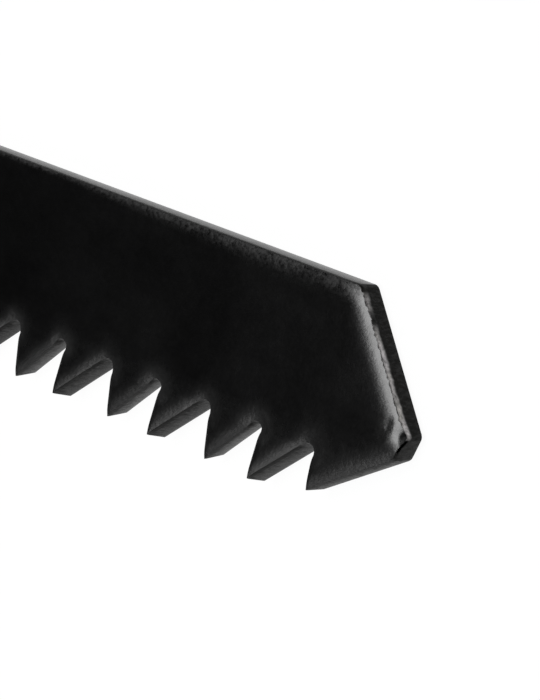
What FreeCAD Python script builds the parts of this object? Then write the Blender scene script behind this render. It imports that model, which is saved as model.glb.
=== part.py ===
import FreeCAD, Part
import Sketcher
import os
from math import cos, pi, radians, sin

# Jigsaw blade, stamped from one strip of steel and lying on its side.
# X runs along the blade: shank at -X, cutting tip at +X. The back edge faces +Y and the
# teeth face -Y. Z is through the thickness, and the face that the punch met is on top.
# The drawing plane of every outline is the middle of the strip.
# Lengths are in millimetres and angles in degrees.

# Two points nearer than this are one
NEAR = 1e-3

# Most of a short wall that the round at its foot may take up, past the punched edge's own round
WALL_SHARE = 0.9

UPWARDS = FreeCAD.Vector(0, 0, 1)

# Driving sizes: name, value, what it measures
SIZES = [
    ("stock_thickness", 1.1, "thickness of the steel strip"),
    ("body_width", 8.0, "back edge to the line of the tooth tips"),
    ("toothed_length", 70.0, "length that the set teeth share"),
    ("tooth_pitch", 2.5, "tip to tip"),
    ("flank_angle", 44.6, "slope of a tooth's long side to the tip line"),
    ("rake_angle", -1.3, "lean of a tooth's cutting face, positive for a hook"),
    ("gullet_radius", 0.25, "round at the bottom of each gullet"),
    ("set_angle", 7.3, "how far each tooth is bent out of the strip"),
    ("bend_radius", 1.5, "radius of that bend at the middle of the strip"),
    ("bend_start", 0.05, "from the gullet's bottom to the start of the bend"),
    ("plain_length", 7.58, "toothless stretch beside the shoulders"),
    ("tip_setback", 3.62, "front of the blade to the last tooth's tip"),
    ("end_slant", 52.9, "slope of the end to the back edge"),
    ("nose_drop", 4.44, "back edge to the top of the nose flat"),
    ("nose_height", 0.885, "height of the nose flat"),
    ("nose_setback", 0.237, "how far the nose flat leans back over its height"),
    ("bevel_angle", 32.9, "slope of the bevel under the nose"),
    ("corner_radius", 0.3, "round at the corners of the end"),
    ("edge_roll", 0.2, "round that the punch leaves along the top edges"),
    ("tang_width", 6.2, "width of the tang"),
    ("tang_length", 8.0, "end of the tang to the lugs"),
    ("point_width", 3.0, "width of the tang's very end"),
    ("point_length", 1.6, "length over which the tang narrows"),
    ("lug_span", 10.2, "width across the two lugs"),
    ("lug_length", 3.0, "length of a lug"),
    ("lug_bevel", 0.6, "bevel on each lug's outer corner"),
    ("neck_width", 6.4, "width of the neck"),
    ("neck_length", 4.5, "lugs to shoulders"),
    ("neck_radius", 0.8, "round in the neck's inner corners"),
    ("shoulder_angle", 45.0, "slope of the shoulders"),
    ("overrun", 1.0, "how far a cutting outline passes the steel"),
]

# Places worked out from the sizes: name, expression
PLACES = [
    ("half_thickness", "sizes.stock_thickness / 2"),
    ("back_y", "sizes.body_width / 2"),
    ("tips_y", "-sizes.body_width / 2"),
    # the set teeth come in pairs, one bent up and one bent down
    ("set_pairs", "floor(sizes.toothed_length / sizes.tooth_pitch / 2 + 0.001)"),
    ("gullets", "2 * places.set_pairs + 1"),
    # along the blade, from the shank's end to the front
    ("shoulder_length", "(sizes.body_width - sizes.neck_width) / 2 / tan(sizes.shoulder_angle)"),
    ("whole_length", "sizes.tang_length + sizes.lug_length + sizes.neck_length"
                     " + places.shoulder_length + sizes.plain_length"
                     " + places.gullets * sizes.tooth_pitch + sizes.tip_setback"),
    ("end_x", "-places.whole_length / 2"),
    ("lug_x", "places.end_x + sizes.tang_length"),
    ("neck_x", "places.lug_x + sizes.lug_length"),
    ("shoulder_x", "places.neck_x + sizes.neck_length"),
    ("body_x", "places.shoulder_x + places.shoulder_length"),
    ("front_x", "places.whole_length / 2"),
    ("last_tip_x", "places.front_x - sizes.tip_setback"),
    # the last gullet: height at which its straight sides would meet, and centre of its round
    ("sharp_depth", "sizes.tooth_pitch * tan(sizes.flank_angle)"
                    " / (1 - tan(sizes.flank_angle) * tan(sizes.rake_angle))"),
    ("half_mouth", "45 - (sizes.flank_angle + sizes.rake_angle) / 2"),
    ("mouth_lean", "45 + (sizes.flank_angle - sizes.rake_angle) / 2"),
    ("round_drop", "sizes.gullet_radius / sin(places.half_mouth)"),
    ("round_x", "places.last_tip_x + places.sharp_depth * tan(sizes.rake_angle)"
                " - places.round_drop * cos(places.mouth_lean)"),
    ("round_y", "places.tips_y + places.sharp_depth"
                " - places.round_drop * sin(places.mouth_lean)"),
    # the set teeth fill a slot whose ends lie inside the last and the first gullet
    ("slot_end_x", "places.round_x"),
    ("slot_start_x", "places.slot_end_x - 2 * places.set_pairs * sizes.tooth_pitch"),
    ("bend_y", "places.round_y + sizes.gullet_radius - sizes.bend_start"),
    # a set tooth's two faces: bend radius of the near and far one, straight part, reach
    ("near_radius", "sizes.bend_radius - places.half_thickness"),
    ("far_radius", "sizes.bend_radius + places.half_thickness"),
    ("tooth_straight", "places.bend_y - places.tips_y"
                       " - sizes.bend_radius * sizes.set_angle * pi / 180"),
    ("rest_height", "sizes.bend_radius * (1 - cos(sizes.set_angle))"
                    " + places.tooth_straight * sin(sizes.set_angle)"
                    " + places.half_thickness * cos(sizes.set_angle)"),
    # the neck's inner rounds, each no larger than its wall has room for
    ("lug_wall", "(sizes.lug_span - sizes.neck_width) / 2 - sizes.edge_roll"),
    ("lug_foot_radius", f"min(sizes.neck_radius; {WALL_SHARE} * places.lug_wall)"),
    ("shoulder_wall", "places.shoulder_length / cos(sizes.shoulder_angle)"
                      " / tan(sizes.shoulder_angle / 2) - sizes.edge_roll"),
    ("shoulder_foot_radius", f"min(sizes.neck_radius; {WALL_SHARE} * places.shoulder_wall)"),
    # the end's corners
    ("nose_top_y", "places.back_y - sizes.nose_drop"),
    ("nose_low_y", "places.nose_top_y - sizes.nose_height"),
    ("nose_low_x", "places.front_x - sizes.nose_setback"),
    ("back_corner_x", "places.front_x - sizes.nose_drop / tan(sizes.end_slant)"),
]


def read(doc, expression):
    """The number that an expression has now."""
    value = doc.getObject("places").evalExpression(expression)
    return float(getattr(value, "Value", value))


def driving_sheet(doc):
    """Spreadsheet of the driving sizes, one named cell each."""
    sheet = doc.addObject("Spreadsheet::Sheet", "sizes")
    for row, (name, value, meaning) in enumerate(SIZES, start=1):
        sheet.set(f"A{row}", meaning)
        sheet.set(f"B{row}", str(value))
        sheet.setAlias(f"B{row}", name)
    doc.recompute()
    return sheet


def worked_out_places(doc):
    """Object that holds the places, each bound to the sizes by its expression."""
    places = doc.addObject("App::VarSet", "places")
    for name, expression in PLACES:
        places.addProperty("App::PropertyFloat", name)
        places.setExpression(name, expression)
        doc.recompute()
    return places


def origin_plane(body, role):
    """One of the body's own reference planes or axes."""
    return next(item for item in body.Origin.OriginFeatures if item.Role == role)


def new_sketch(body, name, role):
    """Empty sketch on one of the body's reference planes."""
    sketch = body.newObject("Sketcher::SketchObject", name)
    sketch.AttachmentSupport = [(origin_plane(body, role), "")]
    sketch.MapMode = "FlatFace"
    return sketch


def place_point(sketch, doc, element, end, x, y):
    """Hold a point of the sketch at two expressions, measured from the origin."""
    for kind, expression in (("DistanceX", x), ("DistanceY", y)):
        value = read(doc, expression)
        number = sketch.addConstraint(Sketcher.Constraint(kind, -1, 1, element, end, value))
        sketch.setExpression(f"Constraints[{number}]", expression)


def closed_outline(sketch, doc, corners):
    """Straight-sided outline through corners that are given as pairs of expressions."""
    points = [FreeCAD.Vector(read(doc, x), read(doc, y), 0) for x, y in corners]
    last = len(points) - 1
    for number, point in enumerate(points):
        following = points[0 if number == last else number + 1]
        sketch.addGeometry(Part.LineSegment(point, following), False)
    for number, (x, y) in enumerate(corners):
        following = 0 if number == last else number + 1
        sketch.addConstraint(Sketcher.Constraint("Coincident", number, 2, following, 1))
        place_point(sketch, doc, number, 1, x, y)


def join_points(sketch, first, second):
    """Straight line between two points of the sketch, each given as an element and its end."""
    start = sketch.getPoint(*first)
    end = sketch.getPoint(*second)
    line = sketch.addGeometry(Part.LineSegment(start, end), False)
    sketch.addConstraint(Sketcher.Constraint("Coincident", line, 1, *first))
    sketch.addConstraint(Sketcher.Constraint("Coincident", line, 2, *second))


def strip_pad(body, name, sketch):
    """Outline given the strip's thickness, half of it on each side of the drawing plane."""
    pad = body.newObject("PartDesign::Pad", name)
    pad.Profile = sketch
    pad.SideType = "Symmetric"
    pad.setExpression("Length", "sizes.stock_thickness")
    return pad


def through_pocket(body, name, sketch):
    """Outline cut through everything, both ways from the drawing plane."""
    pocket = body.newObject("PartDesign::Pocket", name)
    pocket.Profile = sketch
    pocket.Type = "ThroughAll"
    pocket.SideType = "Symmetric"
    return pocket


def row_pattern(body, name, features, spacing, count):
    """Copies of features in a row that runs towards the shank."""
    pattern = body.newObject("PartDesign::LinearPattern", name)
    pattern.Originals = features
    pattern.Direction = (origin_plane(body, "X_Axis"), [""])
    pattern.Reversed = True
    pattern.Mode = "Spacing"
    pattern.setExpression("Offset", spacing)
    pattern.setExpression("Occurrences", count)
    body.Tip = pattern
    return pattern


def edge_rounds(body, name, edges, radius):
    """Fillet on numbered edges of the body as it is now."""
    base = body.Tip
    fillet = body.newObject("PartDesign::Fillet", name)
    fillet.Base = (base, edges)
    fillet.setExpression("Radius", radius)
    body.Tip = fillet
    return fillet


def upright_edges(doc, shape, spots):
    """Names of the edges that run through the thickness at the spots given."""
    wanted = [(read(doc, x), read(doc, y)) for x, y in spots]
    names = []
    for number, edge in enumerate(shape.Edges, start=1):
        first = edge.Vertexes[0].Point
        second = edge.Vertexes[-1].Point
        upright = abs(first.x - second.x) < NEAR and abs(first.y - second.y) < NEAR
        if upright and any(abs(first.x - x) < NEAR and abs(first.y - y) < NEAR for x, y in wanted):
            names.append(f"Edge{number}")
    return names


def punched_edges(doc, shape):
    """Names of the top face's outer edges, without those of the slot for the teeth."""
    top = read(doc, "places.half_thickness")
    slot_start = read(doc, "places.slot_start_x")
    slot_end = read(doc, "places.slot_end_x")
    bend = read(doc, "places.bend_y")
    names = []
    for number, edge in enumerate(shape.Edges, start=1):
        box = edge.BoundBox
        flat_on_top = abs(box.ZMin - top) < NEAR and abs(box.ZMax - top) < NEAR
        middle = edge.valueAt((edge.FirstParameter + edge.LastParameter) / 2)
        along_slot = slot_start - NEAR < middle.x < slot_end + NEAR
        above_teeth = middle.y > bend + NEAR
        if flat_on_top and (above_teeth or not along_slot):
            names.append(f"Edge{number}")
    return names


# The blank: body, shank and the cut of the end
def body_blank(doc, body):
    """Strip from the shoulders to the front, with a slot where the set teeth go."""
    sketch = new_sketch(body, "body_outline", "XY_Plane")
    closed_outline(sketch, doc, [
        ("places.shoulder_x", "-sizes.neck_width / 2"),
        ("places.body_x", "places.tips_y"),
        ("places.slot_start_x", "places.tips_y"),
        ("places.slot_start_x", "places.bend_y"),
        ("places.slot_end_x", "places.bend_y"),
        ("places.slot_end_x", "places.tips_y"),
        ("places.front_x", "places.tips_y"),
        ("places.front_x", "places.back_y"),
        ("places.body_x", "places.back_y"),
        ("places.shoulder_x", "sizes.neck_width / 2"),
    ])
    strip_pad(body, "body_strip", sketch)


def shank_blank(doc, body):
    """T-shaped shank: tang with a narrowed end, two lugs and a neck."""
    lower_side = [
        ("places.end_x", "-sizes.point_width / 2"),
        ("places.end_x + sizes.point_length", "-sizes.tang_width / 2"),
        ("places.lug_x", "-sizes.tang_width / 2"),
        ("places.lug_x", "sizes.lug_bevel - sizes.lug_span / 2"),
        ("places.lug_x + sizes.lug_bevel", "-sizes.lug_span / 2"),
        ("places.neck_x", "-sizes.lug_span / 2"),
        ("places.neck_x", "-sizes.neck_width / 2"),
        ("places.shoulder_x", "-sizes.neck_width / 2"),
    ]
    upper_side = [(x, f"-({y})") for x, y in reversed(lower_side)]
    sketch = new_sketch(body, "shank_outline", "XY_Plane")
    closed_outline(sketch, doc, lower_side + upper_side)
    strip_pad(body, "shank_strip", sketch)


def end_cut(doc, body):
    """Slanted end, small nose flat and the bevel below it, cut from the strip's front."""
    high_y = "(places.back_y + sizes.overrun)"
    low_y = "(places.tips_y - sizes.overrun)"
    outer_x = "places.front_x + sizes.overrun"
    slant_x = f"places.front_x - ({high_y} - places.nose_top_y) / tan(sizes.end_slant)"
    bevel_x = f"places.nose_low_x - (places.nose_low_y - {low_y}) / tan(sizes.bevel_angle)"
    sketch = new_sketch(body, "end_outline", "XY_Plane")
    closed_outline(sketch, doc, [
        ("places.front_x", "places.nose_top_y"),
        (slant_x, high_y),
        (outer_x, high_y),
        (outer_x, low_y),
        (bevel_x, low_y),
        ("places.nose_low_x", "places.nose_low_y"),
    ])
    through_pocket(body, "end_cut", sketch)


# The alternately set teeth
def bent_section(doc, body, name, side):
    """Section of a tooth that is bent out of the strip: side 1 is up, -1 is down.

    Each of its two faces is an arc round the bend's centre, then a straight part that leaves
    the arc at a tangent. One line closes the section at the root and one at the tip.
    """
    sketch = new_sketch(body, name, "YZ_Plane")
    centre = FreeCAD.Vector(read(doc, "places.bend_y"), side * read(doc, "sizes.bend_radius"), 0)
    turn = radians(read(doc, "sizes.set_angle"))
    along = FreeCAD.Vector(-cos(turn), side * sin(turn), 0) * read(doc, "places.tooth_straight")
    root_angle = -side * pi / 2
    leave_angle = root_angle - side * turn
    # an arc runs anticlockwise, so a tooth that is bent up has its root at the arc's end
    leave_end, root_end = (1, 2) if side > 0 else (2, 1)
    faces = []
    for radius in ("places.near_radius", "places.far_radius"):
        circle = Part.Circle(centre, UPWARDS, read(doc, radius))
        first, last = sorted((root_angle, leave_angle))
        arc = sketch.addGeometry(Part.ArcOfCircle(circle, first, last), False)
        leave = circle.value(leave_angle)
        line = sketch.addGeometry(Part.LineSegment(leave, leave + along), False)
        sketch.addConstraint(Sketcher.Constraint("Tangent", arc, leave_end, line, 1))
        place_point(sketch, doc, arc, 3, "places.bend_y", f"{side} * sizes.bend_radius")
        place_point(sketch, doc, arc, root_end, "places.bend_y",
                    f"{side} * (sizes.bend_radius - {radius})")
        place_point(sketch, doc, line, 2,
                    f"places.bend_y - {radius} * sin(sizes.set_angle)"
                    " - places.tooth_straight * cos(sizes.set_angle)",
                    f"{side} * (sizes.bend_radius - {radius} * cos(sizes.set_angle)"
                    " + places.tooth_straight * sin(sizes.set_angle))")
        faces.append((arc, line))
    (near_arc, near_line), (far_arc, far_line) = faces
    join_points(sketch, (near_arc, root_end), (far_arc, root_end))
    join_points(sketch, (near_line, 2), (far_line, 2))
    return sketch


def set_teeth(doc, body):
    """Strips of steel for the teeth, each one pitch long, bent up and down in turn."""
    strips = []
    for name, side, start_x in (
        ("tooth_up", 1, "places.slot_end_x - sizes.tooth_pitch"),
        ("tooth_down", -1, "places.slot_end_x - 2 * sizes.tooth_pitch"),
    ):
        sketch = bent_section(doc, body, f"{name}_section", side)
        sketch.setExpression("AttachmentOffset.Base.z", start_x)
        pad = body.newObject("PartDesign::Pad", name)
        pad.Profile = sketch
        pad.setExpression("Length", "sizes.tooth_pitch")
        strips.append(pad)
        doc.recompute()
    row_pattern(body, "teeth", strips, "2 * sizes.tooth_pitch", "places.set_pairs")


def gullet_cuts(doc, body):
    """Gullets between the teeth: long flank, round bottom and nearly upright cutting face."""
    sketch = new_sketch(body, "gullet_outline", "XY_Plane")
    low_y = "places.tips_y - sizes.overrun"
    flank_x = "places.last_tip_x - sizes.tooth_pitch - sizes.overrun / tan(sizes.flank_angle)"
    face_x = "places.last_tip_x - sizes.overrun * tan(sizes.rake_angle)"
    flank = radians(read(doc, "sizes.flank_angle"))
    rake = radians(read(doc, "sizes.rake_angle"))
    centre = FreeCAD.Vector(read(doc, "places.round_x"), read(doc, "places.round_y"), 0)
    circle = Part.Circle(centre, UPWARDS, read(doc, "sizes.gullet_radius"))
    flank_foot = FreeCAD.Vector(read(doc, flank_x), read(doc, low_y), 0)
    face_foot = FreeCAD.Vector(read(doc, face_x), read(doc, low_y), 0)
    arc = sketch.addGeometry(Part.ArcOfCircle(circle, -rake, pi / 2 + flank), False)
    flank_line = Part.LineSegment(circle.value(pi / 2 + flank), flank_foot)
    face_line = Part.LineSegment(circle.value(-rake), face_foot)
    flank_side = sketch.addGeometry(flank_line, False)
    face_side = sketch.addGeometry(face_line, False)
    mouth = sketch.addGeometry(Part.LineSegment(flank_foot, face_foot), False)
    sketch.addConstraint(Sketcher.Constraint("Tangent", arc, 2, flank_side, 1))
    sketch.addConstraint(Sketcher.Constraint("Tangent", arc, 1, face_side, 1))
    sketch.addConstraint(Sketcher.Constraint("Coincident", flank_side, 2, mouth, 1))
    sketch.addConstraint(Sketcher.Constraint("Coincident", face_side, 2, mouth, 2))
    place_point(sketch, doc, mouth, 1, flank_x, low_y)
    place_point(sketch, doc, mouth, 2, face_x, low_y)
    place_point(sketch, doc, arc, 3, "places.round_x", "places.round_y")
    radius = sketch.addConstraint(Sketcher.Constraint("Radius", arc, circle.Radius))
    sketch.setExpression(f"Constraints[{radius}]", "sizes.gullet_radius")
    pocket = through_pocket(body, "gullet", sketch)
    doc.recompute()
    row_pattern(body, "gullet_row", [pocket], "sizes.tooth_pitch", "places.gullets")


def blade(doc):
    """The whole blade, one piece of steel."""
    body = doc.addObject("PartDesign::Body", "blade")
    body.Label = "blade"
    body_blank(doc, body)
    shank_blank(doc, body)
    end_cut(doc, body)
    doc.recompute()
    end_corners = [
        ("places.back_corner_x", "places.back_y"),
        ("places.front_x", "places.nose_top_y"),
        ("places.nose_low_x", "places.nose_low_y"),
    ]
    edges = upright_edges(doc, body.Tip.Shape, end_corners)
    edge_rounds(body, "end_corner_rounds", edges, "sizes.corner_radius")
    doc.recompute()
    both_sides = ("sizes.neck_width / 2", "-sizes.neck_width / 2")
    edges = upright_edges(doc, body.Tip.Shape, [("places.neck_x", y) for y in both_sides])
    edge_rounds(body, "lug_rounds", edges, "places.lug_foot_radius")
    doc.recompute()
    edges = upright_edges(doc, body.Tip.Shape, [("places.shoulder_x", y) for y in both_sides])
    edge_rounds(body, "shoulder_rounds", edges, "places.shoulder_foot_radius")
    doc.recompute()
    edge_rounds(body, "punch_rounds", punched_edges(doc, body.Tip.Shape), "sizes.edge_roll")
    doc.recompute()
    set_teeth(doc, body)
    gullet_cuts(doc, body)
    # the blade lies on the tips of the teeth that are bent down
    body.setExpression("Placement.Base.z", "places.rest_height")
    doc.recompute()
    return body


def check_document(doc, bodies):
    """Stop before anything is written if a feature failed or a solid isn't sound."""
    for item in doc.Objects:
        if "Invalid" in item.State or "Error" in item.State:
            raise RuntimeError(f"{item.Label} didn't build: {item.State}")
    for body in bodies:
        if body.Shape.isNull() or not body.Shape.isValid() or len(body.Shape.Solids) != 1:
            raise RuntimeError(f"{body.Label} isn't one sound solid")


def main():
    doc = FreeCAD.newDocument("jigsaw_blade")
    driving_sheet(doc)
    worked_out_places(doc)
    bodies = [blade(doc)]
    check_document(doc, bodies)
    os.makedirs("parts", exist_ok=True)
    for body in bodies:
        body.Shape.exportStep(f"parts/{body.Label}.step")
        box = body.Shape.BoundBox
        print(body.Label, "volume", round(body.Shape.Volume, 2), "faces", len(body.Shape.Faces))
        print("X", round(box.XMin, 3), "to", round(box.XMax, 3))
        print("Y", round(box.YMin, 3), "to", round(box.YMax, 3))
        print("Z", round(box.ZMin, 3), "to", round(box.ZMax, 3))


main()
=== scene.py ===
# %% [markdown]
# # A jigsaw blade, from its toothed tip to its T-shank
# The real blade is one strip of steel, 1.1 mm thick. A punch stamps the outline, the teeth are cut
# and bent to either side in turn, and the whole blade is then blackened. The CAD part already has
# these forms, so this lesson adds what the punch and the finish leave behind: a rolled edge on one
# face, a burnished band, a torn band under it, and a black finish that is never quite even.
#
# The frame comes first. Everything below is placed in the CAD part's own frame.

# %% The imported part
from math import atan2, cos, exp, floor, pi, radians, sin, tan

import bmesh
import bpy
import numpy as np
from mathutils import Matrix, Vector, noise
from mathutils.geometry import delaunay_2d_cdt


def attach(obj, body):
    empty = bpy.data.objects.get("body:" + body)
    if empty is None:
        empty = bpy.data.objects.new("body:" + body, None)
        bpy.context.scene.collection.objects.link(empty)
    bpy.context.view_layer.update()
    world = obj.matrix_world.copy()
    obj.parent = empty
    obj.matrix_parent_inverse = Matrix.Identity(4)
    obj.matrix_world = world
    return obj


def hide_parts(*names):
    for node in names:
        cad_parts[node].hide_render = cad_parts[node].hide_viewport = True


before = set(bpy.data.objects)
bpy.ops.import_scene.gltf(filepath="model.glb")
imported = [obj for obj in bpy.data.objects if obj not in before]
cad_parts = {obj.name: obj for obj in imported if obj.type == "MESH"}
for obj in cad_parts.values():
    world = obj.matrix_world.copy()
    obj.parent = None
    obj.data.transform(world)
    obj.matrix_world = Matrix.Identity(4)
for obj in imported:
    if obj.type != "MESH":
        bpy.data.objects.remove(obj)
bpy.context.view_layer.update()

# %% [markdown]
# ## Sizes
# The drawing is in millimetres, as on the part's own sheet, and becomes metres in the mesh. The
# outline could be read from the CAD mesh, but its long triangles carry no rolled edge. Repeating
# the few sizes here and drawing the outline again gives points exactly where the detail needs
# them.

# %% Sizes of the blade in millimetres
MM = 0.001
THICKNESS = 1.1
WIDTH = 8.0
PITCH = 2.5
FLANK = radians(44.6)
RAKE = radians(-1.3)
GULLET_RADIUS = 0.25
SET_TURN = radians(7.3)
BEND_RADIUS = 1.5
BEND_BELOW_GULLET = 0.05
TOOTH_PAIRS = 14
GULLETS = 2 * TOOTH_PAIRS + 1
PLAIN = 7.58
TIP_SETBACK = 3.62
END_SLANT = radians(52.9)
NOSE_DROP, NOSE_HEIGHT, NOSE_SETBACK = 4.44, 0.885, 0.237
BEVEL = radians(32.9)
CORNER_RADIUS = 0.3
TANG_WIDTH, TANG_LENGTH, POINT_WIDTH, POINT_LENGTH = 6.2, 8.0, 3.0, 1.6
LUG_SPAN, LUG_LENGTH, LUG_BEVEL = 10.2, 3.0, 0.6
NECK_WIDTH, NECK_LENGTH, NECK_RADIUS = 6.4, 4.5, 0.8

shoulder = (WIDTH - NECK_WIDTH) / 2
length = TANG_LENGTH + LUG_LENGTH + NECK_LENGTH + shoulder + PLAIN + GULLETS * PITCH + TIP_SETBACK
end_x, front_x = -length / 2, length / 2
lug_x = end_x + TANG_LENGTH
neck_x = lug_x + LUG_LENGTH
shoulder_x = neck_x + NECK_LENGTH
body_x = shoulder_x + shoulder
back_y, tips_y = WIDTH / 2, -WIDTH / 2
tip_x = front_x - TIP_SETBACK
sharp_depth = PITCH * tan(FLANK) / (1 - tan(FLANK) * tan(RAKE))
drop_to_round = GULLET_RADIUS / sin(pi / 4 - (FLANK + RAKE) / 2)
lean = pi / 4 + (FLANK - RAKE) / 2
round_x = tip_x + sharp_depth * tan(RAKE) - drop_to_round * cos(lean)
round_y = tips_y + sharp_depth - drop_to_round * sin(lean)
gullet_top = round_y + GULLET_RADIUS
row_start = round_x - 2 * TOOTH_PAIRS * PITCH
bend_y = gullet_top - BEND_BELOW_GULLET
tooth_straight = bend_y - tips_y - BEND_RADIUS * SET_TURN
middle_z = (BEND_RADIUS * (1 - cos(SET_TURN)) + tooth_straight * sin(SET_TURN)
            + THICKNESS / 2 * cos(SET_TURN))
print("length", round(length, 3), "mm, middle of the strip at", round(middle_z, 4), "mm")

# %% [markdown]
# ## The outline
# The blade's outline is straight runs with rounds between them. A curve object with handles could
# draw it, but the wall below needs to know at each point which way is inwards and what the punch
# left there. So the outline is a chain of sampled points, each with its inward normal and the name
# of its edge. It runs anticlockwise, with the steel on its left.

# %% Chain of outline points
TIP_ROUND = 0.02
# steps between points along straight runs
FINE, MEDIUM, COARSE = 0.05, 0.09, 0.3
ARC_STEP = radians(9)
FEWEST_ARC_STEPS = 4
SAME_SPOT = 1e-6


def rounded_chain(corners):
    """Chain along corners that are given as (x, y, radius, edge, step).

    The edge and the step are those of the run that leaves the corner. Each point of the chain is
    (place, inward normal, edge, radius of the round that it lies on or 0).
    """
    chain = []

    def keep(point, normal, edge, radius=0):
        if not chain or (chain[-1][0] - point).length > SAME_SPOT:
            chain.append((point, normal, edge, radius))

    spots = [Vector(corner[:2]) for corner in corners]
    ways = [(after - before).normalized() for before, after in zip(spots, spots[1:])]
    turns = [atan2(before.x * after.y - before.y * after.x, before.dot(after))
             for before, after in zip(ways, ways[1:])]
    trims = [corner[2] * tan(abs(turn) / 2) for corner, turn in zip(corners[1:], turns)]
    trims = [0.0, *trims, 0.0]
    for i, along in enumerate(ways):
        inward = Vector((-along.y, along.x))
        edge, step = corners[i][3:]
        start = spots[i] + along * trims[i]
        stop = spots[i + 1] - along * trims[i + 1]
        count = max(1, round((stop - start).length / step))
        for k in range(count + 1):
            keep(start.lerp(stop, k / count), inward, edge)
        if trims[i + 1]:
            radius = corners[i + 1][2]
            side = 1 if turns[i] > 0 else -1
            centre = stop + inward * radius * side
            pieces = max(FEWEST_ARC_STEPS, int(abs(turns[i]) / ARC_STEP))
            # a round belongs to the run before it, but those of the free end to the end
            kind = "end" if corners[i + 1][3] == "end" else edge
            for k in range(1, pieces):
                normal = inward.copy()
                normal.rotate(Matrix.Rotation(turns[i] * k / pieces, 2))
                keep(centre - normal * radius * side, normal, kind, radius)
    return chain


# %% Gullets and one tooth
TOOTH_STEP, LAST_RAKE_STEP, GULLET_STEP = 0.08, 0.06, 0.04
FEWEST_GULLET_STEPS = 3
# angles on a gullet's circle: its top, the foot of a cutting face and the head of a flank
TOP, RAKE_FOOT, FLANK_HEAD = pi / 2, -RAKE, pi / 2 + FLANK


def gullet_spot(centre_x, angle):
    """Place on a gullet's circle at an angle."""
    return centre_x + GULLET_RADIUS * cos(angle), round_y + GULLET_RADIUS * sin(angle)


def gullet_chain(centre_x, first, last):
    """Chain round part of a gullet's bottom. The steel is outside its circle."""
    chain = []
    count = max(FEWEST_GULLET_STEPS, round(abs(last - first) * GULLET_RADIUS / GULLET_STEP))
    for k in range(count + 1):
        angle = first + (last - first) * k / count
        normal = Vector((cos(angle), sin(angle)))
        chain.append((Vector((centre_x, round_y)) + normal * GULLET_RADIUS, normal, "gullet", 0))
    return chain


def tooth_chain():
    """Outline of the first set tooth, from the top of one gullet to the top of the next."""
    left, right = round_x - PITCH, round_x
    sides = rounded_chain([(*gullet_spot(left, RAKE_FOOT), 0, "rake", TOOTH_STEP),
                           (tip_x - PITCH, tips_y, TIP_ROUND, "flank", TOOTH_STEP),
                           (*gullet_spot(right, FLANK_HEAD), 0, "flank", TOOTH_STEP)])
    return gullet_chain(left, TOP, RAKE_FOOT) + sides[1:-1] + gullet_chain(right, FLANK_HEAD, TOP)


tooth_outline = tooth_chain()
print("points round a tooth:", len(tooth_outline))

# %% The rest of the outline
BODY_ROUND, LUG_ROUND, TANG_FOOT_ROUND, POINT_ROUND = 0.1, 0.12, 0.06, 0.3
# towards the shank the points along the back lie further apart
BACK_MEDIUM_X, BACK_COARSE_X = 44.0, 28.0


def shank_corners():
    """Corners of the shank from the back's side to the teeth's side, which mirror each other."""
    half = [(shoulder_x, NECK_WIDTH / 2, NECK_RADIUS), (neck_x, NECK_WIDTH / 2, NECK_RADIUS),
            (neck_x, LUG_SPAN / 2, LUG_ROUND), (lug_x + LUG_BEVEL, LUG_SPAN / 2, LUG_ROUND),
            (lug_x, LUG_SPAN / 2 - LUG_BEVEL, LUG_ROUND), (lug_x, TANG_WIDTH / 2, TANG_FOOT_ROUND),
            (end_x + POINT_LENGTH, TANG_WIDTH / 2, POINT_ROUND),
            (end_x, POINT_WIDTH / 2, POINT_ROUND)]
    other_half = [(x, -y, radius) for x, y, radius in reversed(half)]
    return [(*corner, "shank", COARSE) for corner in half + other_half]


def plate_chain():
    """The rest of the outline, from the last gullet round the front, the back and the shank."""
    nose_top_y = back_y - NOSE_DROP
    nose_low_x, nose_low_y = front_x - NOSE_SETBACK, nose_top_y - NOSE_HEIGHT
    # where the bevel meets the last tooth's cutting face
    last_y = nose_low_y - (nose_low_x - tip_x + tips_y * tan(RAKE)) * tan(BEVEL)
    last_y /= 1 - tan(RAKE) * tan(BEVEL)
    last_x = tip_x + (last_y - tips_y) * tan(RAKE)
    corners = [
        (*gullet_spot(round_x, RAKE_FOOT), 0, "rake", LAST_RAKE_STEP),
        (last_x, last_y, TIP_ROUND, "bevel", FINE),
        (nose_low_x, nose_low_y, CORNER_RADIUS, "nose", FINE),
        (front_x, nose_top_y, CORNER_RADIUS, "end", FINE),
        (front_x - NOSE_DROP / tan(END_SLANT), back_y, CORNER_RADIUS, "back", FINE),
        (BACK_MEDIUM_X, back_y, 0, "back", MEDIUM),
        (BACK_COARSE_X, back_y, 0, "back", COARSE),
        (body_x, back_y, BODY_ROUND, "back", COARSE),
        *shank_corners(),
        (body_x, tips_y, BODY_ROUND, "belly", COARSE),
        (tip_x - GULLETS * PITCH, tips_y, TIP_ROUND, "flank", TOOTH_STEP),
        (*gullet_spot(row_start, FLANK_HEAD), 0, "flank", TOOTH_STEP),
    ]
    return (gullet_chain(round_x, TOP, RAKE_FOOT) + rounded_chain(corners)[1:-1]
            + gullet_chain(row_start, FLANK_HEAD, TOP))


plate_outline = plate_chain()
print("points round the plate:", len(plate_outline))
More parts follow.
